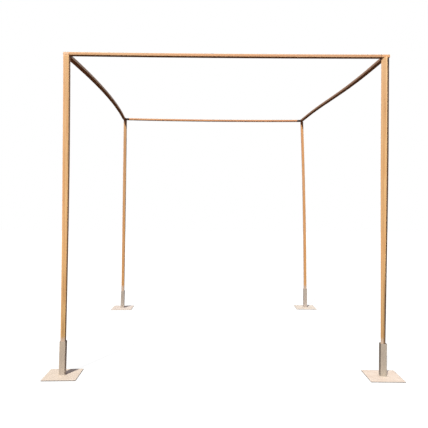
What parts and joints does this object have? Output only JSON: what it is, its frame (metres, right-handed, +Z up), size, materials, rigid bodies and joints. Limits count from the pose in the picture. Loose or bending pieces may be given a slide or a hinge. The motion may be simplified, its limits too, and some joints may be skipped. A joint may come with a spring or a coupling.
{
  "type": "mandap frame",
  "caption": "Open square mandap frame: slim timber posts standing in steel sockets on base plates, joined at the top by a ring of flat timber beams.",
  "frame": {"origin": "on the ground under the middle of the plan", "axes": "+Z up, -Y towards the front, +X to the right seen from the front"},
  "size_m": [3.3597, 3.5203, 3.047],
  "materials": {
    "post_timber": "planed pine, bare",
    "beam_timber": "sawn pine, bare",
    "socket_steel": "satin beige-grey paint",
    "plate_steel": "cream paint",
    "bracket_steel": "dark brown-black coating"
  },
  "bodies": {
    "root": {"front_left_post": "post_timber", "front_right_post": "post_timber", "back_left_post": "post_timber", "back_right_post": "post_timber", "front_beam": "beam_timber", "back_beam": "beam_timber", "left_beam": "beam_timber", "right_beam": "beam_timber", "front_right_block": "beam_timber", "front_left_socket": "socket_steel", "front_right_socket": "socket_steel", "back_left_socket": "socket_steel", "back_right_socket": "socket_steel", "front_left_plate": "plate_steel", "front_right_plate": "plate_steel", "back_left_plate": "plate_steel", "back_right_plate": "plate_steel", "front_left_bracket": "bracket_steel", "front_right_bracket": "bracket_steel", "back_left_bracket": "bracket_steel", "back_right_bracket": "bracket_steel"}
  },
  "joints": []
}
